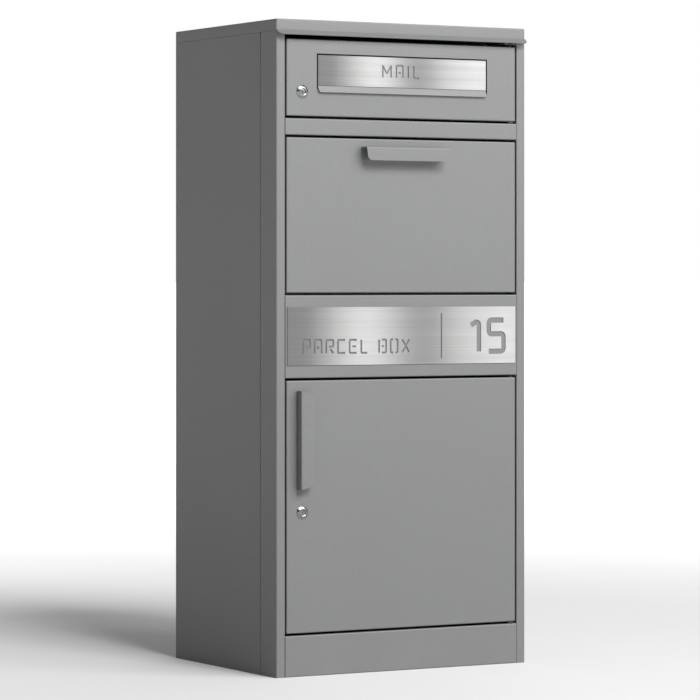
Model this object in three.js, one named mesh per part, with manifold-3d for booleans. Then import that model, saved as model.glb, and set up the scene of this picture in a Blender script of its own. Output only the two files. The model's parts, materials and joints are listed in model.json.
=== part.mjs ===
// A free-standing sheet-steel mailbox for one household. From the top down it has a hood with a
// drip lip, a letter compartment behind a locked door with a letter flap, a tilting parcel flap that
// carries its own chute, an address panel, and a locked parcel compartment over a plinth.
//
// Millimetres. +X is the right of the front, +Y runs to the back and +Z is up. The front faces -Y.
// The origin is the centre of the body's footprint, on the ground.

import * as THREE from "three";
import { RoundedBoxGeometry } from "three/addons/geometries/RoundedBoxGeometry.js";
import { mergeVertices } from "three/addons/utils/BufferGeometryUtils.js";
import Module from "manifold-3d";

const wasm = await Module();
wasm.setup();

// ---------------------------------------------------------------- driving dimensions

const WIDTH = 447;
const DEPTH = 335;
const HEIGHT = 1000;
const SHEET = 1.5;
const FOLD = 1.2; // radius of a fold, on the sheet's centre line
const FOLD_OUTSIDE = FOLD + SHEET / 2;
const SEAM = 0.3; // between fixed sheets that meet
const CONTACT = 0.1; // between pieces that are clamped or fitted together
const ROW_GAP = 3.6; // between the panels of the front, one above the other
const SIDE_GAP = 2.4; // between a door or flap and the corner posts
const RUNNING = 0.06; // radial clearance of a pin in its hole
const FLANGE = 15; // depth of the folded edges of doors and front panels
const PAST = 1; // how far a cutting tool runs past the sheet it cuts

const SIDE = WIDTH / 2;
const FRONT = -DEPTH / 2;
const BACK = DEPTH / 2;
const LEFT_AND_RIGHT = [["left", -1], ["right", 1]];

const POST_FACE = 15.4; // visible width of a corner post on the front
const POST_WRAP = 51.7; // how far it runs back along the side
const POST_RETURN = 37.5; // how far its inner edge runs back beside the doors
const POST_TAIL = 15; // the lap behind the side panel
const POST_INNER = SIDE - POST_FACE;
const LEAF = POST_INNER - SIDE_GAP; // half the width of a door or flap
const INSIDE = SIDE - 2 * SHEET - 2 * SEAM; // half the width left behind the laps of the posts

const HOOD_BAND = 18;
const SHELL_TOP = HEIGHT - HOOD_BAND - SEAM;
const LIP_REACH = 10.5;
const LIP_DROP = 6.3;
const LIP_CORNER = 8;

// The rows of the front, from the ground up.
const ROWS = stackRows({
  plinth: 62.5,
  parcelDoor: 384.3,
  addressPanel: 126.4,
  parcelFlap: 236.6,
  mailRail: 25.4,
  mailDoor: 117.2,
});

const PIN_RADIUS = 3;
const PIN_HEAD = { radius: 3.9, thickness: 2 };
const DOOR_HINGE = { fromEdge: 7.2, depth: 5.5 };
const FLAP_HINGE = { fromEdge: 5.2, depth: 6.5 };
const DOOR_PIVOT = { x: LEAF - DOOR_HINGE.fromEdge, y: FRONT + DOOR_HINGE.depth };
const FLAP_PIVOT = { y: FRONT + FLAP_HINGE.depth, z: ROWS.parcelFlap.bottom + FLAP_HINGE.fromEdge };

const SCREW = { radius: 2.5, headRadius: 4.75, head: 2.4 };

// The chute that tilts with the parcel flap. Angles are from straight up, towards the back.
const OPEN_ANGLE = 55;
const TRAY_ANGLE = 145;
const TRAY_LENGTH = 200;
const CHEEK_RADIUS = 222;
const CHEEK_SPAN = 62;
const HOOK_RADIUS = 238;
const CHEEK_INNER = LEAF - 2 * SHEET - SEAM;
const GUARD_EDGE = { y: 54, z: 602 };
const GUARD_TOP = 772;

const SHELF_TOP = ROWS.mailRail.top - 2.6;
const SHELF_FLANGE = 16;

const STRIKE_DEPTH = 17; // from the front to the face that the door closes against
const STRIKE_LIP = 12;
const CAM = { depth: STRIKE_DEPTH + SHEET + 1.5, thickness: 2, length: 26, half: 7, corner: 3 };
const LOCK = { x: -SIDE + 45, rim: 10, crest: 2.7, barrel: 9, bore: 4.5, barrelEnd: CAM.depth - 0.5 };
const KEYWAY = { half: 0.6, height: 2.6, depth: 6 };

const LETTER_FLAP = { half: 150.8, top: 946.9, fold: 900.5, edge: 889.8, lipReach: 5.6, corner: 5 };
const LETTER_OPENING = { half: 153.1, bottom: 894.5, top: 949 };
const LETTER_HINGE = { y: FRONT + 6.5, z: 942.4, rod: 2, knuckle: 4.2 };
const PLATE_SHEET = 1.2;
const ADDRESS_PLATE = { half: 204.8, bottom: 473.4, top: 562 };

const DEGREE = Math.PI / 180;
const ROUND = 32; // sides of a round piece
const FOLD_STEP = Math.PI / 8;

// The heights of the rows of the front, each one a gap above the last.
function stackRows(heights) {
  const rows = {};
  let bottom = 0;
  for (const [name, height] of Object.entries(heights)) {
    rows[name] = { bottom, top: bottom + height };
    bottom += height + ROW_GAP;
  }
  return rows;
}

// ---------------------------------------------------------------- geometry tools

const X_AXIS = new THREE.Vector3(1, 0, 0);
const Y_AXIS = new THREE.Vector3(0, 1, 0);
const Z_AXIS = new THREE.Vector3(0, 0, 1);

// Two numbers, the lower one first.
const between = (one, other) => [Math.min(one, other), Math.max(one, other)];

// A closed solid for cutting and joining.
function solidOf(geometry) {
  const bare = geometry.index ? geometry.toNonIndexed() : geometry.clone();
  bare.deleteAttribute("normal");
  bare.deleteAttribute("uv");
  const merged = mergeVertices(bare, 1e-4);
  return new wasm.Manifold(new wasm.Mesh({
    numProp: 3,
    vertProperties: merged.attributes.position.array,
    triVerts: new Uint32Array(merged.index.array),
  }));
}

// The geometry of a solid, with flat faces.
function geometryOf(solid) {
  const mesh = solid.getMesh();
  const geometry = new THREE.BufferGeometry();
  geometry.setAttribute("position", new THREE.BufferAttribute(new Float32Array(mesh.vertProperties), 3));
  geometry.setIndex(new THREE.BufferAttribute(new Uint32Array(mesh.triVerts), 1));
  const faceted = geometry.toNonIndexed();
  faceted.computeVertexNormals();
  return faceted;
}

function join(...geometries) {
  return geometryOf(geometries.map(solidOf).reduce((whole, piece) => whole.add(piece)));
}

function cut(geometry, ...tools) {
  return geometryOf(tools.map(solidOf).reduce((rest, tool) => rest.subtract(tool), solidOf(geometry)));
}

function overlapOf(one, other) {
  return geometryOf(solidOf(one).intersect(solidOf(other)));
}

// A box between two corners.
function block(low, high) {
  const size = high.map((value, i) => value - low[i]);
  const middle = high.map((value, i) => (value + low[i]) / 2);
  return new THREE.BoxGeometry(...size).translate(...middle);
}

function roundedBlock(low, high, radius) {
  const size = high.map((value, i) => value - low[i]);
  const middle = high.map((value, i) => (value + low[i]) / 2);
  return new RoundedBoxGeometry(...size, 2, radius).translate(...middle);
}

// A round or many-sided bar along one axis. The centre gives the other two coordinates.
function bar(axis, centre, radius, from, to, sides = ROUND) {
  const cylinder = new THREE.CylinderGeometry(radius, radius, to - from, sides);
  if (axis === X_AXIS) cylinder.rotateZ(-Math.PI / 2);
  if (axis === Z_AXIS) cylinder.rotateX(Math.PI / 2);
  const place = axis.clone().multiplyScalar((from + to) / 2);
  return cylinder.translate(centre.x ?? place.x, centre.y ?? place.y, centre.z ?? place.z);
}

// A shape drawn in (Y, Z), swept along X.
function sweepX(shape, from, to) {
  return new THREE.ExtrudeGeometry(shape, { depth: to - from, bevelEnabled: false })
    .applyMatrix4(new THREE.Matrix4().makeBasis(Y_AXIS, Z_AXIS, X_AXIS))
    .translate(from, 0, 0);
}

// A shape drawn in (X, Z), swept along Y.
function sweepY(shape, from, to) {
  return new THREE.ExtrudeGeometry(shape, { depth: to - from, bevelEnabled: false })
    .applyMatrix4(new THREE.Matrix4().makeBasis(X_AXIS, Z_AXIS, Y_AXIS.clone().negate()))
    .translate(0, to, 0);
}

// A shape drawn in (X, Y), swept along Z.
function sweepZ(shape, from, to) {
  return new THREE.ExtrudeGeometry(shape, { depth: to - from, bevelEnabled: false })
    .translate(0, 0, from);
}

const leftOf = (direction) => new THREE.Vector2(-direction.y, direction.x);

// A line through corners, each rounded to its radius. Every point comes with the way to its left.
function roundedLine(corners, radii, closed = false) {
  const points = corners.map(([x, y]) => new THREE.Vector2(x, y));
  const line = [];
  points.forEach((corner, i) => {
    const before = points[i - 1] ?? (closed ? points.at(-1) : null);
    const after = points[i + 1] ?? (closed ? points[0] : null);
    const arrive = before && corner.clone().sub(before).normalize();
    const leave = after && after.clone().sub(corner).normalize();
    const radius = Array.isArray(radii) ? radii[i] : radii;
    if (!arrive || !leave || !radius) {
      line.push({ point: corner, left: leftOf(leave ?? arrive) });
      return;
    }
    const turn = Math.atan2(arrive.cross(leave), arrive.dot(leave));
    const inward = leftOf(arrive).multiplyScalar(Math.sign(turn) * radius);
    const toFold = -radius * Math.tan(Math.abs(turn) / 2);
    const centre = corner.clone().addScaledVector(arrive, toFold).add(inward);
    const steps = Math.max(2, Math.ceil(Math.abs(turn) / FOLD_STEP - 1e-6));
    for (let step = 0; step <= steps; step += 1) {
      const left = leftOf(arrive).rotateAround(new THREE.Vector2(), (turn * step) / steps);
      line.push({ point: centre.clone().addScaledVector(left, -Math.sign(turn) * radius), left });
    }
  });
  return line;
}

// The cross-section of a folded sheet, from the corners of its centre line.
function foldedSheet(corners, sheet = SHEET, fold = FOLD) {
  const line = roundedLine(corners, fold);
  const offset = (distance) => line.map(({ point, left }) => point.clone().addScaledVector(left, distance));
  return new THREE.Shape([...offset(sheet / 2), ...offset(-sheet / 2).reverse()]);
}

function roundedOutline(corners, radii) {
  return new THREE.Shape(roundedLine(corners, radii, true).map(({ point }) => point));
}

// A folded tray: a sheet with an edge folded up along each of its four sides. It is open towards
// the high or low end (sign 1 or -1) of one axis (0, 1 or 2).
function tray(low, high, axis, sign) {
  const stretch = (from, to, by) => {
    const ends = [[...from], [...to]];
    ends[sign > 0 ? 1 : 0][axis] += sign * by;
    return ends;
  };
  const outside = roundedBlock(...stretch(low, high, 2 * FOLD_OUTSIDE), FOLD_OUTSIDE);
  const innerLow = low.map((value) => value + SHEET);
  const innerHigh = high.map((value) => value - SHEET);
  return cut(overlapOf(outside, block(low, high)), block(...stretch(innerLow, innerHigh, 2 * SHEET)));
}

// A point at a distance and an angle from the flap's pivot, in (Y, Z).
function fromPivot(radius, degrees) {
  return [
    FLAP_PIVOT.y + radius * Math.sin(degrees * DEGREE),
    FLAP_PIVOT.z + radius * Math.cos(degrees * DEGREE),
  ];
}

// ---------------------------------------------------------------- materials and assembly

const FINISHES = {
  coat: { color: 0x8e8f90, roughness: 0.55, metalness: 0.35 },
  brushed: { color: 0xc4c5c6, roughness: 0.32, metalness: 1 },
  chrome: { color: 0xdadcdf, roughness: 0.12, metalness: 1 },
  zinc: { color: 0xa9adb0, roughness: 0.4, metalness: 0.9 },
  black: { color: 0x1c1d1e, roughness: 0.5, metalness: 0.6 },
  nylon: { color: 0x232426, roughness: 0.6, metalness: 0 },
};

const mailbox = new THREE.Group();
mailbox.name = "parcel_mailbox";

function add(name, finish, geometry) {
  const mesh = new THREE.Mesh(geometry, new THREE.MeshStandardMaterial(FINISHES[finish]));
  mesh.name = name;
  mailbox.add(mesh);
}

// ---------------------------------------------------------------- cabinet shell

// A corner post: a lap behind the side panel, the side, the front face and the inner return.
function cornerPost(side) {
  const wall = SIDE - SHEET / 2;
  const lap = wall - SHEET - SEAM;
  const joggle = 0.8; // length of the step down from the side to the lap
  const inner = POST_INNER + SHEET / 2;
  const profile = foldedSheet([
    [side * lap, FRONT + POST_WRAP + POST_TAIL],
    [side * lap, FRONT + POST_WRAP - SEAM],
    [side * wall, FRONT + POST_WRAP - SEAM - joggle],
    [side * wall, FRONT + SHEET / 2],
    [side * inner, FRONT + SHEET / 2],
    [side * inner, FRONT + POST_RETURN],
  ]);
  // A relief at the top of the seam, and the hole for the flap's pivot pin.
  const relief = 3;
  const seam = FRONT + POST_WRAP;
  const [notchLow, notchHigh] = between(side * (SIDE + PAST), side * (lap - SHEET));
  const notch = block(
    [notchLow, seam - relief, SHELL_TOP - relief],
    [notchHigh, seam + relief, SHELL_TOP + PAST],
  );
  const reach = between(side * (POST_INNER - PAST), side * (POST_INNER + SHEET + PAST));
  const pivotHole = bar(X_AXIS, FLAP_PIVOT, PIN_RADIUS + RUNNING, ...reach);
  return cut(sweepZ(profile, 0, SHELL_TOP), notch, pivotHole);
}

const INNER_EDGE = 20; // width of the shell's inner edges at the top and at the back
const SHELL_SCREW_X = SIDE - 12;
const HOOD_SCREW_Y = { front: -70, rear: 110 };
const BACK_SCREW_Z = { lower: 90, upper: 890 };

// A side panel with an inner edge at the back, for the back panel, and one at the top, for the hood.
function sidePanel(side) {
  const wall = side * (SIDE - SHEET / 2);
  const start = FRONT + POST_WRAP + SEAM;
  const profile = foldedSheet([
    [wall, start],
    [wall, BACK - SHEET / 2],
    [side * (SIDE - INNER_EDGE), BACK - SHEET / 2],
  ]);
  const [ledgeLow, ledgeHigh] = between(wall, side * (SIDE - INNER_EDGE));
  const ledge = block(
    [ledgeLow, start + POST_TAIL + SEAM, SHELL_TOP - SHEET],
    [ledgeHigh, BACK - 2 * FOLD_OUTSIDE, SHELL_TOP],
  );
  return cut(join(sweepZ(profile, 0, SHELL_TOP), ledge), ...hoodScrewHoles(side), ...backScrewHoles(side));
}

// A clearance hole for a screw.
const screwHole = (axis, centre, from, to) => bar(axis, centre, SCREW.radius + CONTACT, from, to);

function hoodScrewHoles(side) {
  const x = side * SHELL_SCREW_X;
  return Object.values(HOOD_SCREW_Y).map((y) =>
    screwHole(Z_AXIS, { x, y }, SHELL_TOP - SHEET - PAST, HEIGHT - HOOD_BAND + SHEET + PAST),
  );
}

function backScrewHoles(side) {
  const x = side * SHELL_SCREW_X;
  return Object.values(BACK_SCREW_Z).map((z) =>
    screwHole(Y_AXIS, { x, z }, BACK - 2 * SHEET - SEAM - PAST, BACK + PAST),
  );
}

// A screw with a flat round head. It points from the seat of its head in the direction 1 or -1.
function screw(axis, centre, seat, direction, length) {
  return join(
    bar(axis, centre, SCREW.headRadius, ...between(seat - direction * SCREW.head, seat)),
    bar(axis, centre, SCREW.radius, ...between(seat, seat + direction * length)),
  );
}

// The hood: a tray turned over, an inner edge on three sides to rest on the shell, and the drip lip.
function hood() {
  const bottom = HEIGHT - HOOD_BAND;
  const cap = tray([-SIDE, FRONT, bottom], [SIDE, BACK, HEIGHT], 2, -1);
  const edges = LEFT_AND_RIGHT.map(([, side]) => {
    const ends = between(side * (SIDE - SHEET / 2), side * (SIDE - INNER_EDGE));
    return block([ends[0], FRONT + SHEET / 2, bottom], [ends[1], BACK - SHEET / 2, bottom + SHEET]);
  });
  const rearEdge = block(
    [-SIDE + SHEET / 2, BACK - INNER_EDGE, bottom],
    [SIDE - SHEET / 2, BACK - SHEET / 2, bottom + SHEET],
  );
  const holes = [...hoodScrewHoles(-1), ...hoodScrewHoles(1)];
  return cut(join(cap, ...edges, rearEdge, dripLip(bottom)), ...holes);
}

// The lip is drawn flat, with its two free corners rounded, and then turned to its slope.
function dripLip(foldHeight) {
  const slope = Math.atan2(LIP_DROP, LIP_REACH);
  const length = Math.hypot(LIP_DROP, LIP_REACH);
  const outline = roundedOutline(
    [[-SIDE, SHEET], [-SIDE, -length], [SIDE, -length], [SIDE, SHEET]],
    [0, LIP_CORNER, LIP_CORNER, 0],
  );
  return new THREE.ExtrudeGeometry(outline, { depth: SHEET, bevelEnabled: false })
    .rotateX(slope)
    .translate(0, FRONT, foldHeight);
}

// A front panel between the posts: its upper and lower edges are folded to the back.
function frontPanel(row, upperEdge, lowerEdge) {
  const face = FRONT + SHEET / 2;
  const profile = foldedSheet([
    [FRONT + lowerEdge, row.bottom + SHEET / 2],
    [face, row.bottom + SHEET / 2],
    [face, row.top - SHEET / 2],
    [FRONT + upperEdge, row.top - SHEET / 2],
  ]);
  return sweepX(profile, -POST_INNER + SEAM, POST_INNER - SEAM);
}

function doorPinHole(from, to) {
  return bar(Z_AXIS, DOOR_PIVOT, PIN_RADIUS + RUNNING, from, to);
}

// The base plate: a flat sheet with its rear edge folded up, and four holes for ground anchors.
const ANCHOR = { x: 150, y: [-85, 115], radius: 6 };
const BASE_EDGE = 20; // height of the base plate's folded edge
function basePlate() {
  const rear = BACK - 2 * SHEET - 2 * SEAM - SHEET / 2;
  const profile = foldedSheet([
    [FRONT + POST_RETURN + SEAM, SHEET / 2],
    [rear, SHEET / 2],
    [rear, BASE_EDGE],
  ]);
  const holes = LEFT_AND_RIGHT.flatMap(([, side]) =>
    ANCHOR.y.map((y) => bar(Z_AXIS, { x: side * ANCHOR.x, y }, ANCHOR.radius, -PAST, SHEET + PAST)),
  );
  return cut(sweepX(profile, -INSIDE, INSIDE), ...holes);
}

function backPanel() {
  const panel = block(
    [-SIDE + SHEET + 2 * SEAM, BACK - 2 * SHEET - SEAM, SHEET],
    [SIDE - SHEET - 2 * SEAM, BACK - SHEET - SEAM, SHELL_TOP - SHEET - SEAM],
  );
  return cut(panel, ...backScrewHoles(-1), ...backScrewHoles(1));
}

// The floor of the letter compartment. Its front part is narrower, to pass between the posts.
const SHELF_CLEARANCE = 2; // from the narrow part to each post
function mailShelf() {
  const bottom = SHELF_TOP - SHELF_FLANGE;
  const wide = {
    low: [-INSIDE, FRONT + POST_RETURN + SEAM, bottom],
    high: [INSIDE, BACK - 2 * SHEET - 2 * SEAM, SHELF_TOP],
  };
  const narrow = {
    low: [-POST_INNER + SHELF_CLEARANCE, FRONT + FLANGE + SEAM, bottom],
    high: [POST_INNER - SHELF_CLEARANCE, wide.low[1] + FLANGE, SHELF_TOP],
  };
  const hollow = ({ low, high }) =>
    block([low[0] + SHEET, low[1] + SHEET, low[2] - PAST], high.map((value) => value - SHEET));
  return cut(join(block(wide.low, wide.high), block(narrow.low, narrow.high)), hollow(wide), hollow(narrow));
}

// The retrieval guard: a sloping sheet under which a parcel falls, with a gusset at each end.
function retrievalGuard() {
  const wall = BACK - 3 * SHEET;
  const hem = 12;
  const profile = foldedSheet([
    [wall, GUARD_TOP + INNER_EDGE],
    [wall, GUARD_TOP],
    [GUARD_EDGE.y, GUARD_EDGE.z],
    [GUARD_EDGE.y + hem, GUARD_EDGE.z - hem / 2],
  ]);
  const gusset = new THREE.Shape([
    new THREE.Vector2(wall, GUARD_TOP),
    new THREE.Vector2(GUARD_EDGE.y + SHEET, GUARD_EDGE.z),
    new THREE.Vector2(GUARD_EDGE.y + hem, GUARD_EDGE.z - hem / 2),
    new THREE.Vector2(wall, GUARD_TOP - 6 * hem),
  ]);
  return join(
    sweepX(profile, -INSIDE, INSIDE),
    sweepX(gusset, -INSIDE, -INSIDE + SHEET),
    sweepX(gusset, INSIDE - SHEET, INSIDE),
  );
}

for (const [name, side] of LEFT_AND_RIGHT) {
  add(`corner_post_${name}`, "coat", cornerPost(side));
  add(`side_panel_${name}`, "coat", sidePanel(side));
}
add("hood", "coat", hood());
add("back_panel", "coat", backPanel());
add("base_plate", "coat", basePlate());
add("mail_shelf", "coat", mailShelf());
add("retrieval_guard", "coat", retrievalGuard());
add("mail_rail", "coat", cut(
  frontPanel(ROWS.mailRail, FLANGE, FLANGE),
  doorPinHole(ROWS.mailRail.top - 2 * SHEET, ROWS.mailRail.top + PAST),
));
add("address_panel", "coat", cut(
  frontPanel(ROWS.addressPanel, FLANGE, FLANGE),
  doorPinHole(ROWS.addressPanel.bottom - PAST, ROWS.addressPanel.bottom + 2 * SHEET),
));
add("plinth_panel", "coat", cut(
  frontPanel(ROWS.plinth, FLANGE, POST_RETURN),
  doorPinHole(ROWS.plinth.top - 2 * SHEET, ROWS.plinth.top + PAST),
));

const HOOD_SCREW_LENGTH = 6;
const BACK_SCREW_LENGTH = 2 * SHEET + SEAM + CONTACT; // it ends inside the shell's rear edge
for (const [name, side] of LEFT_AND_RIGHT) {
  const x = side * SHELL_SCREW_X;
  for (const [end, y] of Object.entries(HOOD_SCREW_Y)) {
    const seat = SHELL_TOP - SHEET - SEAM;
    add(`hood_screw_${name}_${end}`, "zinc", screw(Z_AXIS, { x, y }, seat, 1, HOOD_SCREW_LENGTH));
  }
  for (const [end, z] of Object.entries(BACK_SCREW_Z)) {
    const seat = BACK - 2 * SHEET - 2 * SEAM;
    add(`back_screw_${name}_${end}`, "zinc", screw(Y_AXIS, { x, z }, seat, 1, BACK_SCREW_LENGTH));
  }
}

// ---------------------------------------------------------------- hinges and strikes of the doors

// A hinge pin with a head. It points up or down (direction 1 or -1) from the seat of its head.
function hingePin(seat, direction, length) {
  return join(
    bar(Z_AXIS, DOOR_PIVOT, PIN_HEAD.radius, ...between(seat - direction * PIN_HEAD.thickness, seat)),
    bar(Z_AXIS, DOOR_PIVOT, PIN_RADIUS, ...between(seat, seat + direction * length)),
  );
}

// The nylon washer that a door turns on.
const WASHER_RIM = 2.2;
function doorWasher(floor) {
  const low = floor + SEAM;
  const high = floor + ROW_GAP - SEAM;
  return cut(
    bar(Z_AXIS, DOOR_PIVOT, PIN_RADIUS + WASHER_RIM, low, high),
    doorPinHole(low - PAST, high + PAST),
  );
}

// The angle bracket behind the hood that holds the upper pin of the mail door.
const BRACKET = { bottom: ROWS.mailDoor.top + ROW_GAP + SEAM, inward: 10, back: 8 };
function mailHingeBracket() {
  const outer = POST_INNER - SEAM - SHEET / 2;
  const level = BRACKET.bottom + SHEET / 2;
  const profile = foldedSheet([
    [DOOR_PIVOT.x - BRACKET.inward, level],
    [outer, level],
    [outer, SHELL_TOP],
  ]);
  const bracket = sweepY(profile, FRONT + 2 * SHEET, FRONT + POST_RETURN - BRACKET.back);
  return cut(bracket, doorPinHole(BRACKET.bottom - PAST, BRACKET.bottom + 2 * SHEET));
}

// The angle that a door closes against and that its lock's cam hooks behind.
const STRIKE_CLEARANCE = 2; // from its ends to the panels above and below
function doorStrike(row) {
  const outer = -POST_INNER + SEAM + SHEET / 2;
  const face = FRONT + STRIKE_DEPTH + SHEET / 2;
  const profile = foldedSheet([
    [outer, FRONT + POST_RETURN],
    [outer, face],
    [outer + STRIKE_LIP, face],
  ]);
  return sweepZ(profile, row.bottom + STRIKE_CLEARANCE, row.top - STRIKE_CLEARANCE);
}

const PIN_ENTRY = 9; // how far a hinge pin reaches into the door
const PIN_LENGTH = SEAM + SHEET + ROW_GAP + PIN_ENTRY;
for (const [name, row, under] of [
  ["mail", ROWS.mailDoor, ROWS.mailRail.top],
  ["parcel", ROWS.parcelDoor, ROWS.plinth.top],
]) {
  const over = row === ROWS.mailDoor ? BRACKET.bottom : row.top + ROW_GAP;
  add(`${name}_hinge_pin_lower`, "black", hingePin(under - SHEET - SEAM, 1, PIN_LENGTH));
  add(`${name}_hinge_pin_upper`, "black", hingePin(over + SHEET + SEAM, -1, PIN_LENGTH));
  add(`${name}_hinge_washer`, "nylon", doorWasher(under));
  add(`${name}_door_strike`, "coat", doorStrike(row));
}
add("mail_hinge_bracket", "coat", mailHingeBracket());

// ---------------------------------------------------------------- handles

const HANDLE_SHEET = 2;
const HANDLE_LENGTH = 150;
const HANDLE_SCREW = 50; // from the middle of the handle
const HANDLE_SCREW_DROP = 12; // from its folded edge

// A grip folded from one strip: a back plate, a web along the top and a front plate that hangs from
// it. The free edges are narrower, with round corners. It stands on the plane Y = 0, under Z = 0.
function gripHandle(width, reach, taper, corner) {
  const half = HANDLE_SHEET / 2;
  const front = half - reach;
  const end = HANDLE_LENGTH / 2;
  const profile = foldedSheet(
    [[-half, -width], [-half, -half], [front, -half], [front, -width]],
    HANDLE_SHEET,
  );
  const channel = sweepX(profile, -end, end);
  const outline = roundedOutline(
    [[-end, 0], [-end + taper, -width], [end - taper, -width], [end, 0]],
    [0, corner, corner, 0],
  );
  const holes = [-HANDLE_SCREW, HANDLE_SCREW].map((x) =>
    screwHole(Y_AXIS, { x, z: -HANDLE_SCREW_DROP }, -HANDLE_SHEET - PAST, PAST),
  );
  return cut(overlapOf(channel, sweepY(outline, -reach - PAST, PAST)), ...holes);
}

const FLAP_HANDLE = { x: 0, top: 808.1, width: 21, reach: 18, taper: 3, corner: 8 };
const DOOR_HANDLE = { left: -SIDE + 35.1, z: 359.8, width: 23.6, reach: 15.5, taper: 6.5, corner: 5 };
const HANDLE_FACE = FRONT - CONTACT;

// Where the screws of each handle go through the sheet, in (X, Z).
const FLAP_HANDLE_SCREWS = [-HANDLE_SCREW, HANDLE_SCREW].map((along) => (
  { x: FLAP_HANDLE.x + along, z: FLAP_HANDLE.top - HANDLE_SCREW_DROP }
));
const DOOR_HANDLE_SCREWS = [-HANDLE_SCREW, HANDLE_SCREW].map((along) => (
  { x: DOOR_HANDLE.left + HANDLE_SCREW_DROP, z: DOOR_HANDLE.z + along }
));

const handleScrewHole = (place) => screwHole(Y_AXIS, place, FRONT - PAST, FRONT + SHEET + PAST);
const handleScrew = (place) =>
  screw(Y_AXIS, place, FRONT + SHEET + CONTACT, -1, CONTACT + SHEET + CONTACT + HANDLE_SHEET);

// ---------------------------------------------------------------- cylinder locks

// The turned parts of a lock, drawn as [radius, depth behind the door's face], corner by corner.
function turned(corners, radii, z) {
  const outline = roundedLine(corners, radii, true).map(({ point }) => point);
  return new THREE.LatheGeometry([...outline, outline[0]], LOCK_ROUND).translate(LOCK.x, FRONT, z);
}

// The housing: a domed rim that flares out from the plug, and the barrel behind it.
const LOCK_ROUND = 40;
const LOCK_FLARE = { radial: 1.1, depth: 0.6, crown: 0.3 };
// The dome's corner stands at these shares of the rim's radius and of the crest's height.
const LOCK_DOME = { out: 0.8, height: 0.76, radius: 8, edge: 0.4 };
function lockHousing(z) {
  const { rim, crest, barrel, bore, barrelEnd } = LOCK;
  const corners = [
    [bore, -CONTACT],
    [bore, LOCK_FLARE.depth - crest],
    [bore + LOCK_FLARE.radial, -crest],
    [LOCK_DOME.out * rim, -LOCK_DOME.height * crest],
    [rim, -LOCK_DOME.edge],
    [rim, -CONTACT],
    [barrel, -CONTACT],
    [barrel, barrelEnd],
    [bore, barrelEnd],
  ];
  return turned(corners, [0, 0, LOCK_FLARE.crown, LOCK_DOME.radius, 0, 0, 0, 0, 0], z);
}

function lockPlug(z) {
  const radius = LOCK.bore - RUNNING;
  const face = -LOCK.crest / 2;
  const chamfer = 0.4;
  const back = CAM.depth - 2 * CONTACT;
  const corners = [[0, face], [radius - chamfer, face], [radius, face + chamfer], [radius, back], [0, back]];
  const slot = block(
    [LOCK.x - KEYWAY.half, FRONT - LOCK.crest, z - KEYWAY.height],
    [LOCK.x + KEYWAY.half, FRONT + KEYWAY.depth, z + KEYWAY.height],
  );
  return cut(turned(corners, 0, z), slot);
}

const inLock = (z) => ({ x: LOCK.x, z });

const LOCK_NUT = { rim: 4, thickness: 4 };
function lockNut(z) {
  const from = FRONT + SHEET + CONTACT;
  const to = from + LOCK_NUT.thickness;
  return cut(
    bar(Y_AXIS, inLock(z), LOCK.barrel + LOCK_NUT.rim, from, to, 6),
    bar(Y_AXIS, inLock(z), LOCK.barrel + CONTACT, from - PAST, to + PAST),
  );
}

// The cam hangs straight down when the lock is open, and points at the post when it is locked.
function lockCam(z) {
  const { depth, thickness, length, half, corner } = CAM;
  const crown = half - 0.5;
  const outline = roundedOutline(
    [
      [LOCK.x - half, z + half],
      [LOCK.x - half, z - length],
      [LOCK.x + half, z - length],
      [LOCK.x + half, z + half],
    ],
    [crown, corner, corner, crown],
  );
  const from = FRONT + depth;
  return cut(
    sweepY(outline, from, from + thickness),
    screwHole(Y_AXIS, inLock(z), from - PAST, from + thickness + PAST),
  );
}

const CAM_SCREW_HEAD = 3;
function camScrew(z) {
  const seat = FRONT + CAM.depth + CAM.thickness + CONTACT;
  return join(
    bar(Y_AXIS, inLock(z), SCREW.radius, FRONT + CAM.depth - CONTACT, seat),
    bar(Y_AXIS, inLock(z), 2 * SCREW.radius, seat, seat + CAM_SCREW_HEAD, 6),
  );
}

const lockHole = (z) => bar(Y_AXIS, inLock(z), LOCK.barrel + CONTACT, FRONT - PAST, FRONT + SHEET + PAST);

function addLock(name, z) {
  add(`${name}_lock_housing`, "chrome", lockHousing(z));
  add(`${name}_lock_nut`, "zinc", lockNut(z));
  add(`${name}_lock_plug`, "chrome", lockPlug(z));
  add(`${name}_lock_cam`, "zinc", lockCam(z));
  add(`${name}_lock_cam_screw`, "zinc", camScrew(z));
}

const MAIL_LOCK_Z = 890;
const PARCEL_LOCK_Z = 249.6;

// ---------------------------------------------------------------- doors

// A door or flap: a tray with its face to the front.
function leaf(row) {
  return tray([-LEAF, FRONT, row.bottom], [LEAF, FRONT + FLANGE, row.top], 1, 1);
}

const { half: openingHalf, bottom: openingBottom, top: openingTop } = LETTER_OPENING;
add("mail_door_panel", "coat", cut(
  leaf(ROWS.mailDoor),
  block([-openingHalf, FRONT - PAST, openingBottom], [openingHalf, FRONT + SHEET + PAST, openingTop]),
  lockHole(MAIL_LOCK_Z),
  doorPinHole(ROWS.mailDoor.bottom - PAST, ROWS.mailDoor.top + PAST),
));
addLock("mail", MAIL_LOCK_Z);

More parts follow.
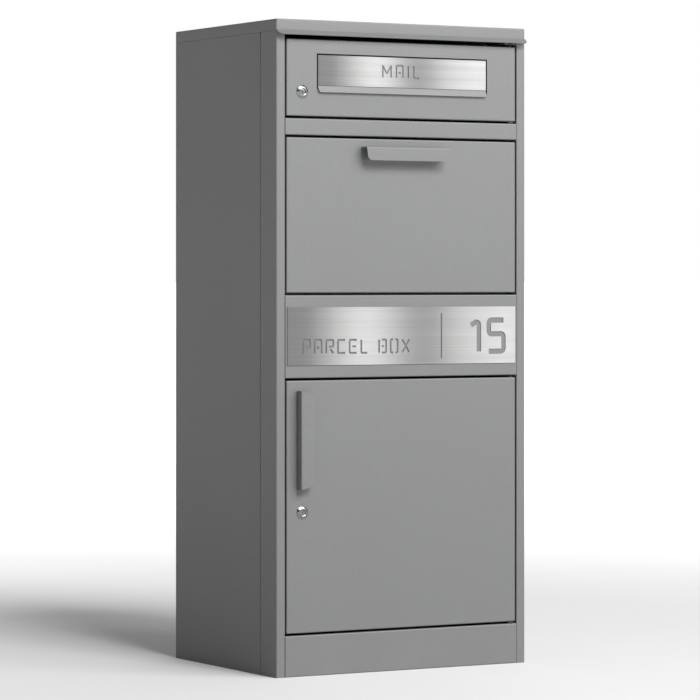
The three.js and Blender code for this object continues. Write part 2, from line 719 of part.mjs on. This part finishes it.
add("parcel_door_panel", "coat", cut(
  leaf(ROWS.parcelDoor),
  lockHole(PARCEL_LOCK_Z),
  doorPinHole(ROWS.parcelDoor.bottom - PAST, ROWS.parcelDoor.top + PAST),
  ...DOOR_HANDLE_SCREWS.map(handleScrewHole),
));
addLock("parcel", PARCEL_LOCK_Z);
add("parcel_door_handle", "coat", gripHandle(
  DOOR_HANDLE.width, DOOR_HANDLE.reach, DOOR_HANDLE.taper, DOOR_HANDLE.corner,
).rotateY(-Math.PI / 2).translate(DOOR_HANDLE.left, HANDLE_FACE, DOOR_HANDLE.z));
DOOR_HANDLE_SCREWS.forEach((place, i) => {
  add(`parcel_door_handle_screw_${["lower", "upper"][i]}`, "zinc", handleScrew(place));
});

// ---------------------------------------------------------------- letter flap

// The flap with its grip lip folded out, and the knuckle that turns on the rod.
function letterFlap() {
  const { half, top, fold, edge, lipReach, corner } = LETTER_FLAP;
  const centre = FRONT + PLATE_SHEET + SHEET / 2;
  const sheet = sweepX(
    foldedSheet([[centre, top], [centre, fold], [centre - lipReach, edge]]),
    -half,
    half,
  );
  const outline = roundedOutline(
    [[-half, top], [-half, edge - SHEET / 2], [half, edge - SHEET / 2], [half, top]],
    [0, corner, corner, 0],
  );
  const knuckle = bar(X_AXIS, LETTER_HINGE, LETTER_HINGE.knuckle, -half, half, 24);
  const trimmed = overlapOf(sheet, sweepY(outline, FRONT - FLANGE, FRONT + FLANGE));
  return cut(join(trimmed, knuckle), rodHole(-half - PAST, half + PAST));
}

const rodHole = (from, to) => bar(X_AXIS, LETTER_HINGE, LETTER_HINGE.rod + RUNNING, from, to);

// An ear on the back of the door that holds one end of the rod.
const EAR = { near: LETTER_OPENING.half + 1.5, above: 5, below: 7 };
function rodEar(side) {
  const ends = between(side * EAR.near, side * (EAR.near + SHEET));
  const plate = block(
    [ends[0], FRONT + SHEET + CONTACT, LETTER_HINGE.z - EAR.below],
    [ends[1], LETTER_HINGE.y + EAR.above, LETTER_HINGE.z + EAR.above],
  );
  return cut(plate, rodHole(ends[0] - PAST, ends[1] + PAST));
}

const ROD_HALF = EAR.near + 2 * SHEET;
add("letter_flap", "coat", letterFlap());
add("letter_flap_rod", "zinc", bar(X_AXIS, LETTER_HINGE, LETTER_HINGE.rod, -ROD_HALF, ROD_HALF));
for (const [name, side] of LEFT_AND_RIGHT) add(`letter_flap_ear_${name}`, "coat", rodEar(side));

// ---------------------------------------------------------------- stencilled plates

// Stencil characters as strokes on a cell one unit high. A stroke stops short wherever the sheet
// inside a character has to stay joined to the sheet around it.
const CELL = 0.62;
const STEM = [[0, 0], [0, 1]];
const GLYPHS = {
  A: { width: CELL, strokes: [[[0, 0], [0, 1], [CELL, 1], [CELL, 0]], [[0.21, 0.42], [0.41, 0.42]]] },
  B: {
    width: CELL,
    strokes: [STEM, [[0.25, 1], [CELL, 1], [CELL, 0], [0.25, 0]], [[0.25, 0.5], [0.4, 0.5]]],
  },
  C: { width: CELL, strokes: [[[CELL, 1], [0, 1], [0, 0], [CELL, 0]]] },
  E: { width: CELL, strokes: [[[CELL, 1], [0, 1], [0, 0], [CELL, 0]], [[0.24, 0.5], [0.55, 0.5]]] },
  I: { width: 0, strokes: [STEM] },
  L: { width: 0.52, strokes: [[[0, 1], [0, 0], [0.52, 0]]] },
  M: {
    width: 0.8,
    strokes: [STEM, [[0.8, 0], [0.8, 1]], [[0.03, 0.93], [0.4, 0.3]], [[0.77, 0.93], [0.4, 0.3]]],
  },
  O: {
    width: CELL,
    strokes: [[[0.21, 1], [0, 1], [0, 0], [0.21, 0]], [[0.41, 1], [CELL, 1], [CELL, 0], [0.41, 0]]],
  },
  P: { width: CELL, strokes: [[[0, 0], [0, 1], [CELL, 1], [CELL, 0.45], [0.24, 0.45]]] },
  R: {
    width: CELL,
    strokes: [[[0, 0], [0, 1], [CELL, 1], [CELL, 0.5], [0.24, 0.5]], [[0.36, 0.3], [CELL, 0]]],
  },
  X: { width: CELL, strokes: [[[0, 0], [CELL, 1]], [[0, 1], [CELL, 0]]] },
  1: { width: 0.3, strokes: [[[0.3, 0], [0.3, 1], [0, 0.84]]] },
  5: { width: 0.56, strokes: [[[0.56, 1], [0, 1], [0, 0.56], [0.56, 0.56], [0.56, 0], [0, 0]]] },
};
const STROKE_FOLD = 0.55;

// Tools that cut a line of characters through a plate. It starts at left, on the line at bottom.
function characters(text, { left, bottom, size, stroke, spacing, word = 0 }, from, to) {
  const tools = [];
  const scale = size - stroke;
  let x = left + stroke / 2;
  for (const character of text) {
    if (character === " ") {
      x += word;
      continue;
    }
    const { width, strokes } = GLYPHS[character];
    for (const line of strokes) {
      const corners = line.map(([u, v]) => [x + u * scale, bottom + stroke / 2 + v * scale]);
      tools.push(sweepY(foldedSheet(corners, stroke, STROKE_FOLD * stroke), from, to));
    }
    x += width * scale + stroke + spacing;
  }
  return tools;
}

function namePlate() {
  const back = FRONT + PLATE_SHEET - CONTACT;
  const { half, top, fold } = LETTER_FLAP;
  const word = { left: -38, bottom: 914.7, size: 21.2, stroke: 2.8, spacing: 7 };
  return cut(
    block([-half, FRONT, fold + 2 * CONTACT], [half, back, top]),
    ...characters("MAIL", word, FRONT - PAST, back + PAST),
  );
}

function addressPlate() {
  const { half, bottom, top } = ADDRESS_PLATE;
  const back = FRONT - CONTACT;
  const face = back - PLATE_SHEET;
  const cutThrough = [face - PAST, back + PAST];
  const word = { left: -SIDE + 43, bottom: 490, size: 23.3, stroke: 3.2, spacing: 5, word: 13 };
  const number = { left: -SIDE + 342, bottom: 487.6, size: 57.1, stroke: 8.3, spacing: 10 };
  const separator = { x: -SIDE + 292, half: 1.4, bottom: 481.7, top: 551.8 };
  return cut(
    block([-half, face, bottom], [half, back, top]),
    ...characters("PARCEL BOX", word, ...cutThrough),
    ...characters("15", number, ...cutThrough),
    block(
      [separator.x - separator.half, cutThrough[0], separator.bottom],
      [separator.x + separator.half, cutThrough[1], separator.top],
    ),
  );
}

add("name_plate", "brushed", namePlate());
add("address_plate", "brushed", addressPlate());

// ---------------------------------------------------------------- parcel flap and its chute

// One side of the chute: a sector beside the opening that narrows to the end of the tray, with a
// hook that stops the flap on the lower edge of the mail rail.
function cheek(side) {
  const hookEdge = OPEN_ANGLE + Math.asin((FRONT + FLANGE + SEAM - FLAP_PIVOT.y) / HOOK_RADIUS) / DEGREE;
  const arc = [];
  const arcSteps = 12;
  const arcStart = 3;
  for (let step = 0; step <= arcSteps; step += 1) {
    arc.push(fromPivot(CHEEK_RADIUS, arcStart + ((hookEdge - arcStart) * step) / arcSteps));
  }
  const trayEnd = trayCorners()[2];
  const outline = new THREE.Shape([
    [FRONT + SHEET + SEAM, ROWS.parcelFlap.bottom + SHEET + SEAM],
    [FRONT + SHEET + SEAM, ROWS.parcelFlap.top - 2 * FLANGE],
    ...arc,
    fromPivot(HOOK_RADIUS, hookEdge),
    fromPivot(HOOK_RADIUS, CHEEK_SPAN),
    [trayEnd[0] - SHEET, trayEnd[1]],
    [FRONT + FLANGE, ROWS.parcelFlap.bottom + SHEET + SEAM],
  ].map(([y, z]) => new THREE.Vector2(y, z)));
  const ends = between(side * CHEEK_INNER, side * (CHEEK_INNER + SHEET));
  return cut(sweepX(outline, ...ends), flapPinHole(ends[0] - PAST, ends[1] + PAST));
}

const flapPinHole = (from, to) => bar(X_AXIS, FLAP_PIVOT, PIN_RADIUS + RUNNING, from, to);

// The tray's centre line: a short lap on the flap's lower edge, the slope, and a stiffening hem.
function trayCorners() {
  const lap = ROWS.parcelFlap.bottom + 1.5 * SHEET + SEAM;
  const pastFlap = 2;
  const bend = [FRONT + FLANGE + pastFlap, lap];
  const slope = TRAY_ANGLE * DEGREE;
  const end = [bend[0] + TRAY_LENGTH * Math.sin(slope), bend[1] + TRAY_LENGTH * Math.cos(slope)];
  const hem = 10;
  return [
    [FRONT + 2 * SHEET, lap],
    bend,
    end,
    [end[0] + hem * Math.cos(slope), end[1] - hem * Math.sin(slope)],
  ];
}

add("parcel_flap_panel", "coat", cut(
  leaf(ROWS.parcelFlap),
  flapPinHole(-LEAF - PAST, LEAF + PAST),
  ...FLAP_HANDLE_SCREWS.map(handleScrewHole),
));
add("parcel_flap_handle", "coat", gripHandle(
  FLAP_HANDLE.width, FLAP_HANDLE.reach, FLAP_HANDLE.taper, FLAP_HANDLE.corner,
).translate(FLAP_HANDLE.x, HANDLE_FACE, FLAP_HANDLE.top));
FLAP_HANDLE_SCREWS.forEach((place, i) => {
  add(`parcel_flap_handle_screw_${["left", "right"][i]}`, "zinc", handleScrew(place));
});
add("chute_tray", "coat", sweepX(foldedSheet(trayCorners()), -CHEEK_INNER + SEAM, CHEEK_INNER - SEAM));
for (const [name, side] of LEFT_AND_RIGHT) {
  add(`chute_cheek_${name}`, "coat", cheek(side));
  const seat = side * (POST_INNER + SHEET + SEAM);
  add(`flap_pivot_pin_${name}`, "black", join(
    bar(X_AXIS, FLAP_PIVOT, PIN_RADIUS, ...between(side * CHEEK_INNER, seat)),
    bar(X_AXIS, FLAP_PIVOT, PIN_HEAD.radius, ...between(seat, seat + side * PIN_HEAD.thickness)),
  ));
}

export default mailbox;
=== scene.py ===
"""A free-standing sheet-steel parcel mailbox in a plain pale studio.

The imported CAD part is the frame. Every CAD node keeps its shape, gets a procedural finish, and has
its folds and turned faces shaded smooth. Metres, in the part's own frame: +X right of the front,
+Y to the back, +Z up.
"""

import json
import math

import bpy
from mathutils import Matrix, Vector

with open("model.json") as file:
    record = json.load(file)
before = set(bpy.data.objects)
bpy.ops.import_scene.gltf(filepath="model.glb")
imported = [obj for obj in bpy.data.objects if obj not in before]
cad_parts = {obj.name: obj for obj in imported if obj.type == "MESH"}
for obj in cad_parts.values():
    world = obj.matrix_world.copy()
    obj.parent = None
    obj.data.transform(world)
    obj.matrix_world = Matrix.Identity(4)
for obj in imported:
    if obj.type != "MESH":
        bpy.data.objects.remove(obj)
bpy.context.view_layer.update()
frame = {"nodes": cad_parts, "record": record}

MM = 0.001

# ------------------------------------------------------------------ node helpers


class Nodes:
    """Short names for building one node tree."""

    def __init__(self, tree):
        self.nodes = tree.nodes
        self.links = tree.links

    def put(self, value, socket):
        """Gives a socket its value: another node's output, a number or a tuple."""
        if isinstance(value, bpy.types.NodeSocket):
            self.links.new(value, socket)
        else:
            socket.default_value = value

    def add(self, kind, inputs=None, **settings):
        """A new node. Inputs are numbers, tuples or other nodes' output sockets."""
        node = self.nodes.new(kind)
        for name, value in settings.items():
            setattr(node, name, value)
        for name, value in (inputs or {}).items():
            self.put(value, node.inputs[name])
        return node

    def math(self, operation, first, second=0.0):
        """One sum, product or comparison of two values."""
        return self.add("ShaderNodeMath", {0: first, 1: second}, operation=operation).outputs[0]

    def axis(self, vector, name):
        """The X, Y or Z part of a vector."""
        return self.add("ShaderNodeSeparateXYZ", {"Vector": vector}).outputs[name]

    def noise(self, place, scale, detail=2.0, roughness=0.5):
        """Cloudy noise between 0 and 1, with about this many clouds to the metre."""
        inputs = {"Vector": place, "Scale": scale, "Detail": detail, "Roughness": roughness}
        return self.add("ShaderNodeTexNoise", inputs).outputs["Fac"]

    def drawn_noise(self, place, scales, detail=2.0, roughness=0.5):
        """Noise with its own number of clouds to the metre along each axis."""
        scaled = self.add("ShaderNodeMapping", {"Vector": place, "Scale": scales})
        return self.noise(scaled.outputs["Vector"], 1.0, detail, roughness)

    def remap(self, value, low_in, high_in, low_out, high_out, smooth=False):
        """A value carried from one range to another, and held at the second one's ends."""
        inputs = {
            "Value": value,
            "From Min": low_in,
            "From Max": high_in,
            "To Min": low_out,
            "To Max": high_out,
        }
        kind = "SMOOTHSTEP" if smooth else "LINEAR"
        return self.add("ShaderNodeMapRange", inputs, interpolation_type=kind).outputs["Result"]

    def mix(self, amount, first, second, blend="MIX"):
        """Two colours blended by an amount from 0 to 1."""
        node = self.add("ShaderNodeMix", data_type="RGBA", blend_type=blend)
        sockets = (node.inputs[0], node.inputs[6], node.inputs[7])
        for socket, value in zip(sockets, (amount, first, second)):
            self.put(value, socket)
        return node.outputs[2]

    def bump(self, height, strength, depth, normal=None):
        """A normal tilted by a relief whose full height is depth, in metres."""
        inputs = {"Height": height, "Strength": strength, "Distance": depth}
        if normal is not None:
            inputs["Normal"] = normal
        return self.add("ShaderNodeBump", inputs).outputs["Normal"]


def grey(value, warmth=0.0):
    """A nearly neutral colour. A positive warmth leans to red, a negative one to blue."""
    return (value * (1 + warmth), value, value * (1 - warmth), 1.0)


def new_material(name):
    """A material with its node tree, its shader and the object's own coordinates."""
    material = bpy.data.materials.new(name)
    material.use_nodes = True
    tree = Nodes(material.node_tree)
    shader = tree.nodes["Principled BSDF"]
    place = tree.add("ShaderNodeTexCoord").outputs["Object"]
    return material, tree, shader, place


def set_surface(tree, shader, colour, metallic, roughness, normal):
    """Gives a shader the four values that every finish sets."""
    tree.put(colour, shader.inputs["Base Color"])
    tree.put(metallic, shader.inputs["Metallic"])
    tree.put(roughness, shader.inputs["Roughness"])
    tree.put(normal, shader.inputs["Normal"])


# ------------------------------------------------------------------ finishes

NOISE_RANGE = (0.3, 0.7)  # nearly all of a noise lies between these values

COAT_GREY = 0.163
COAT_WARMTH = -0.010
COAT_DRIFT = 0.035  # the tone wanders this share either way over a panel
COAT_WARMTH_DRIFT = 0.004
COAT_MOTTLE = 0.12  # and this share from grain to grain
COAT_ROUGHNESS = (0.44, 0.58)
FLAKE_GREY = 1.9 * COAT_GREY
FLAKE_STRENGTH = 0.35
FLAKE_RADIUS = 0.22  # as a share of the distance between flakes
EDGE_RADIUS = 0.45 * MM  # paint and deburring soften the edges
DUST_COLOUR = grey(0.30, 0.03)
DUST_ROUGHNESS = 0.8
DUST_ON_TOP = 0.10
DUST_AT_GROUND = 0.12
SPLASH_HEIGHT = 0.09


def coat_dust(tree, place):
    """The share of dust: it settles on what faces up, and splashes dull the lowest hand's width."""
    upward = tree.axis(tree.add("ShaderNodeNewGeometry").outputs["Normal"], "Z")
    height = tree.axis(place, "Z")
    patches = tree.noise(place, 22.0, detail=4.0, roughness=0.6)
    settled = tree.remap(upward, 0.5, 1.0, 0.0, DUST_ON_TOP)
    splashed = tree.remap(height, 0.0, SPLASH_HEIGHT, DUST_AT_GROUND, 0.0)
    return tree.math(
        "ADD", tree.math("MULTIPLY", settled, patches), tree.math("MULTIPLY", splashed, patches)
    )


def powder_coat():
    """Fine-textured grey aluminium powder coat: mottled, with small bright flakes."""
    material, tree, shader, place = new_material("powder_coat")
    broad = tree.noise(place, 5.0, detail=3.0)
    mottle = tree.noise(place, 620.0, detail=3.0, roughness=0.65)
    fine = tree.noise(place, 900.0)
    base = tree.mix(
        broad,
        grey(COAT_GREY * (1 - COAT_DRIFT), COAT_WARMTH + COAT_WARMTH_DRIFT),
        grey(COAT_GREY * (1 + COAT_DRIFT), COAT_WARMTH - COAT_WARMTH_DRIFT),
    )
    grain = tree.mix(
        tree.remap(mottle, *NOISE_RANGE, 0.0, 1.0), grey(1 - COAT_MOTTLE), grey(1 + COAT_MOTTLE)
    )
    toned = tree.mix(1.0, base, grain, blend="MULTIPLY")
    flakes = tree.add("ShaderNodeTexVoronoi", {"Vector": place, "Scale": 1500.0})
    flake = tree.remap(flakes.outputs["Distance"], 0.0, FLAKE_RADIUS, 1.0, 0.0)
    speckled = tree.mix(tree.math("MULTIPLY", flake, FLAKE_STRENGTH), toned, grey(FLAKE_GREY))
    dust = coat_dust(tree, place)
    clean_roughness = tree.remap(mottle, 0.2, 0.8, *COAT_ROUGHNESS)
    relief = tree.math("ADD", fine, tree.math("MULTIPLY", broad, 0.6))
    soft_edges = tree.add("ShaderNodeBevel", {"Radius": EDGE_RADIUS}, samples=4).outputs["Normal"]
    set_surface(
        tree,
        shader,
        colour=tree.mix(dust, speckled, DUST_COLOUR),
        metallic=0.25,
        roughness=tree.math("ADD", clean_roughness, tree.math("MULTIPLY", dust, DUST_ROUGHNESS)),
        normal=tree.bump(relief, strength=0.16, depth=0.12 * MM, normal=soft_edges),
    )
    return material


# Painted reflection: brightness painted along the brushed sheet, from its left end (0) to its right end
# (1).
PAINTED_REFLECTION_BANDS = (
    (0.0, 0.18), (0.12, 0.26), (0.33, 0.55), (0.57, 0.275), (0.75, 0.43), (0.92, 0.56), (1.0, 0.56)
)
HAIRS = (7.0, 900.0, 900.0)  # fine brush marks to the metre along X, Y and Z
STRANDS = (2.2, 210.0, 210.0)  # coarser ones
HAIR_SHARE = 0.6  # the strands make up the rest
STREAK_DARK = grey(0.86, 0.004)
STREAK_LIGHT = grey(1.08, 0.004)


def painted_reflection_colour(tree):
    """Painted reflection: slow light and dark bands along the sheet, standing in for reflected light."""
    share = tree.add("ShaderNodeTexCoord").outputs["Generated"]
    ramp = tree.add("ShaderNodeValToRGB", {"Fac": tree.axis(share, "X")})
    ramp.color_ramp.interpolation = "CARDINAL"
    elements = ramp.color_ramp.elements
    while len(elements) < len(PAINTED_REFLECTION_BANDS):
        elements.new(0.5)
    for element, (position, value) in zip(elements, PAINTED_REFLECTION_BANDS):
        element.position = position
        element.color = grey(value)
    return ramp.outputs["Color"]


def brushed_plate():
    """Stainless sheet brushed lengthways, with painted reflection bands in its colour."""
    material, tree, shader, place = new_material("brushed_plate")
    hairs = tree.drawn_noise(place, HAIRS, detail=4.0, roughness=0.7)
    strands = tree.drawn_noise(place, STRANDS)
    streak = tree.math(
        "ADD", tree.math("MULTIPLY", hairs, HAIR_SHARE), tree.math("MULTIPLY", strands, 1 - HAIR_SHARE)
    )
    streaks = tree.mix(tree.remap(streak, 0.32, 0.68, 0.0, 1.0), STREAK_DARK, STREAK_LIGHT)
    set_surface(
        tree,
        shader,
        # painted reflection bands, multiplied by the brush streaks
        colour=tree.mix(1.0, painted_reflection_colour(tree), streaks, blend="MULTIPLY"),
        metallic=0.6,
        roughness=tree.remap(streak, *NOISE_RANGE, 0.30, 0.42),
        normal=tree.bump(hairs, strength=0.10, depth=0.03 * MM),
    )
    shader.inputs["Anisotropic"].default_value = 0.6
    tangent = tree.add("ShaderNodeTangent", direction_type="RADIAL", axis="Z").outputs["Tangent"]
    tree.put(tangent, shader.inputs["Tangent"])
    return material


def polished_chrome():
    """Chrome plating with faint wiping marks."""
    material, tree, shader, place = new_material("lock_chrome")
    smears = tree.noise(place, 300.0, detail=3.0, roughness=0.6)
    scratches = tree.drawn_noise(place, (400.0, 400.0, 4000.0))
    set_surface(
        tree,
        shader,
        colour=tree.mix(smears, grey(0.22, -0.01), grey(0.30, -0.005)),
        metallic=1.0,
        roughness=tree.remap(smears, *NOISE_RANGE, 0.22, 0.32),
        normal=tree.bump(scratches, strength=0.05, depth=0.02 * MM),
    )
    return material


def zinc_plate():
    """Zinc plating: a dull crystalline grey."""
    material, tree, shader, place = new_material("zinc_hardware")
    crystals = tree.add("ShaderNodeTexVoronoi", {"Vector": place, "Scale": 420.0}).outputs["Color"]
    tone = tree.add("ShaderNodeSeparateColor", {"Color": crystals}).outputs[0]
    worn = tree.noise(place, 160.0, detail=3.0)
    set_surface(
        tree,
        shader,
        colour=tree.mix(tone, grey(0.36, -0.02), grey(0.52, -0.01)),
        metallic=0.95,
        roughness=tree.remap(worn, *NOISE_RANGE, 0.28, 0.48),
        normal=tree.bump(worn, strength=0.15, depth=0.05 * MM),
    )
    return material


def grained_black(name, scale, tones, metallic, roughness, strength):
    """A nearly black finish. Its tone, roughness and relief all follow one grain."""
    material, tree, shader, place = new_material(name)
    grain = tree.noise(place, scale, detail=3.0)
    darkest, lightest = tones
    set_surface(
        tree,
        shader,
        colour=tree.mix(grain, grey(darkest), grey(lightest)),
        metallic=metallic,
        roughness=tree.remap(grain, *NOISE_RANGE, *roughness),
        normal=tree.bump(grain, strength, depth=0.05 * MM),
    )
    return material


def black_steel():
    """Blackened steel: nearly black, with a dull worn sheen."""
    return grained_black(
        "black_steel",
        scale=260.0,
        tones=(0.012, 0.030),
        metallic=0.5,
        roughness=(0.45, 0.65),
        strength=0.15,
    )


def moulded_nylon():
    """Black nylon with a faint mould texture."""
    return grained_black(
        "nylon",
        scale=900.0,
        tones=(0.018, 0.032),
        metallic=0.0,
        roughness=(0.42, 0.60),
        strength=0.2,
    )


FINISHES = {
    "powder_coat": powder_coat(),
    "brushed_plate": brushed_plate(),
    "lock_chrome": polished_chrome(),
    "zinc_hardware": zinc_plate(),
    "black_steel": black_steel(),
    "nylon": moulded_nylon(),
}

# ------------------------------------------------------------------ CAD nodes

SMOOTH_ANGLE = math.radians(46)  # a sharper edge stays sharp
MERGE_DISTANCE = 0.005 * MM


def smoothing_group():
    """A node group that merges split vertices and shades shallow angles smooth."""
    group = bpy.data.node_groups.new("smooth_shallow_angles", "GeometryNodeTree")
    for direction in ("INPUT", "OUTPUT"):
        group.interface.new_socket("Geometry", in_out=direction, socket_type="NodeSocketGeometry")
    tree = Nodes(group)
    source = tree.add("NodeGroupInput").outputs["Geometry"]
    merged = tree.add("GeometryNodeMergeByDistance", {"Geometry": source, "Distance": MERGE_DISTANCE})
    faces = tree.add("GeometryNodeSetShadeSmooth", {"Geometry": merged.outputs["Geometry"]}, domain="FACE")
    faces.inputs["Shade Smooth"].default_value = True
    angle = tree.add("GeometryNodeInputMeshEdgeAngle").outputs["Unsigned Angle"]
    sharp = tree.math("GREATER_THAN", angle, SMOOTH_ANGLE)
    sharp_edges = {"Geometry": faces.outputs["Geometry"], "Selection": sharp}
    edges = tree.add("GeometryNodeSetShadeSmooth", sharp_edges, domain="EDGE")
    edges.inputs["Shade Smooth"].default_value = False
    output = tree.add("NodeGroupOutput")
    tree.put(edges.outputs["Geometry"], output.inputs[0])
    return group


def finish_cad_nodes():
    """Gives every CAD node its slot's finish, smooth folds and flat faces that look flat."""
    group = smoothing_group()
    for subpart in frame["record"]["subparts"]:
        node = frame["nodes"][subpart["node"]]
        node.data.materials.clear()
        node.data.materials.append(FINISHES[subpart["material_slot"]])
        node.modifiers.new("smooth", "NODES").node_group = group
        flat_faces = node.modifiers.new("flat_faces", "WEIGHTED_NORMAL")
        flat_faces.keep_sharp = True


finish_cad_nodes()

# ------------------------------------------------------------------ studio

FLOOR_HALF = 1200.0  # far enough for its edge to meet the horizon
FLOOR_NEAR = 0.60  # its tone around the object
FLOOR_FAR = 0.95  # and in the distance
FLOOR_FADE = (0.8, 3.2)  # the tone changes between these distances
FLOOR_DRIFT = 0.02  # and wanders this share either way
FLOOR_GLOW = 0.6  # the far floor shines, so that it fades into the white surround
FLOOR_GLOW_FADE = (2.0, 9.0)


def pale_floor():
    """A matt floor, pale under the object and white in the distance."""
    mesh = bpy.data.meshes.new("floor")
    half = FLOOR_HALF
    corners = [(-half, -half, 0), (half, -half, 0), (half, half, 0), (-half, half, 0)]
    mesh.from_pydata(corners, [], [(0, 1, 2, 3)])
    floor = bpy.data.objects.new("floor", mesh)
    bpy.context.scene.collection.objects.link(floor)
    material, tree, shader, place = new_material("floor")
    distance = tree.add("ShaderNodeVectorMath", {0: place}, operation="LENGTH").outputs["Value"]
    pale = tree.remap(distance, *FLOOR_FADE, FLOOR_NEAR, FLOOR_FAR, smooth=True)
    clouds = tree.remap(tree.noise(place, 3.0), 0.0, 1.0, 1 - FLOOR_DRIFT, 1 + FLOOR_DRIFT)
    glow = tree.remap(distance, *FLOOR_GLOW_FADE, 0.0, FLOOR_GLOW, smooth=True)
    tree.put(tree.math("MULTIPLY", pale, clouds), shader.inputs["Base Color"])
    tree.put(glow, shader.inputs["Emission Strength"])
    shader.inputs["Emission Color"].default_value = grey(1.0)
    shader.inputs["Roughness"].default_value = 0.9
    shader.inputs["Specular IOR Level"].default_value = 0.0
    mesh.materials.append(material)


# The surround brightens between these two values of a direction's X, Y or Z.
RIGHT_FADE = (0.0, 0.38)
BACK_FADE = (0.0, 0.6)
TOP_FADE = (0.45, 0.9)


def soft_world(behind, above, right, dark):
    """A smooth surround: white behind the object, bright above it, dim to its right, dark elsewhere."""
    world = bpy.data.worlds.new("studio")
    world.use_nodes = True
    bpy.context.scene.world = world
    tree = Nodes(world.node_tree)
    direction = tree.add("ShaderNodeTexCoord").outputs["Generated"]
    to_right = tree.remap(tree.axis(direction, "X"), *RIGHT_FADE, 0.0, 1.0, smooth=True)
    to_back = tree.remap(tree.axis(direction, "Y"), *BACK_FADE, 0.0, 1.0, smooth=True)
    to_top = tree.remap(tree.axis(direction, "Z"), *TOP_FADE, 0.0, 1.0, smooth=True)
    away = tree.math("MULTIPLY", to_right, to_back)
    level = dark
    for share, strength in ((to_right, right), (away, behind), (to_top, above)):
        level = tree.math("MAXIMUM", tree.math("MULTIPLY", share, strength), level)
    background = tree.nodes["Background"]
    tree.put(level, background.inputs["Color"])
    background.inputs["Strength"].default_value = 1.0


def add_lamp(name, light, towards, place=(0.0, 0.0, 0.0)):
    """A lamp that shines back along the direction that leads towards it."""
    lamp = bpy.data.objects.new(name, light)
    lamp.location = place
    lamp.rotation_euler = towards.to_track_quat("Z", "Y").to_euler()
    bpy.context.scene.collection.objects.link(lamp)


def broad_light(name, azimuth, elevation, angle, strength):
    """A large soft light, far off. Its azimuth is from straight ahead of the front, to the right."""
    light = bpy.data.lights.new(name, "SUN")
    light.angle = math.radians(angle)
    light.energy = strength
    around, up = math.radians(azimuth), math.radians(elevation)
    level = math.cos(up)
    add_lamp(name, light, Vector((level * math.sin(around), -level * math.cos(around), math.sin(up))))


def area_light(name, place, target, size, power):
    """A square softbox, turned to its target."""
    light = bpy.data.lights.new(name, "AREA")
    light.size = size
    light.energy = power
    add_lamp(name, light, Vector(place) - Vector(target), place)


CAMERA_PLACE = (-2.790, -4.849, 0.602)
CAMERA_TURN = math.radians(-29.93)  # from straight at the front, to the right
CAMERA_SENSOR = 36.0  # millimetres
CAMERA_LENS = 181.2
CAMERA_SHIFT = -0.0986  # as a share of the sensor's width


def camera():
    """Level, left of the front, with the object kept in the frame by a vertical shift."""
    data = bpy.data.cameras.new("camera")
    data.sensor_width = CAMERA_SENSOR
    data.lens = CAMERA_LENS
    data.shift_y = CAMERA_SHIFT
    data.clip_end = 2 * FLOOR_HALF
    holder = bpy.data.objects.new("camera", data)
    holder.location = CAMERA_PLACE
    holder.rotation_euler = (math.radians(90), 0, CAMERA_TURN)
    bpy.context.scene.collection.objects.link(holder)
    bpy.context.scene.camera = holder


pale_floor()
soft_world(behind=1.0, above=0.45, right=0.5, dark=0.035)
broad_light("key", azimuth=2, elevation=42, angle=24, strength=3.3)
area_light("fill", place=(1.3, -2.2, 2.2), target=(0.0, -0.17, 0.5), size=1.5, power=53.0)
camera()
bpy.context.scene.view_settings.view_transform = "Standard"
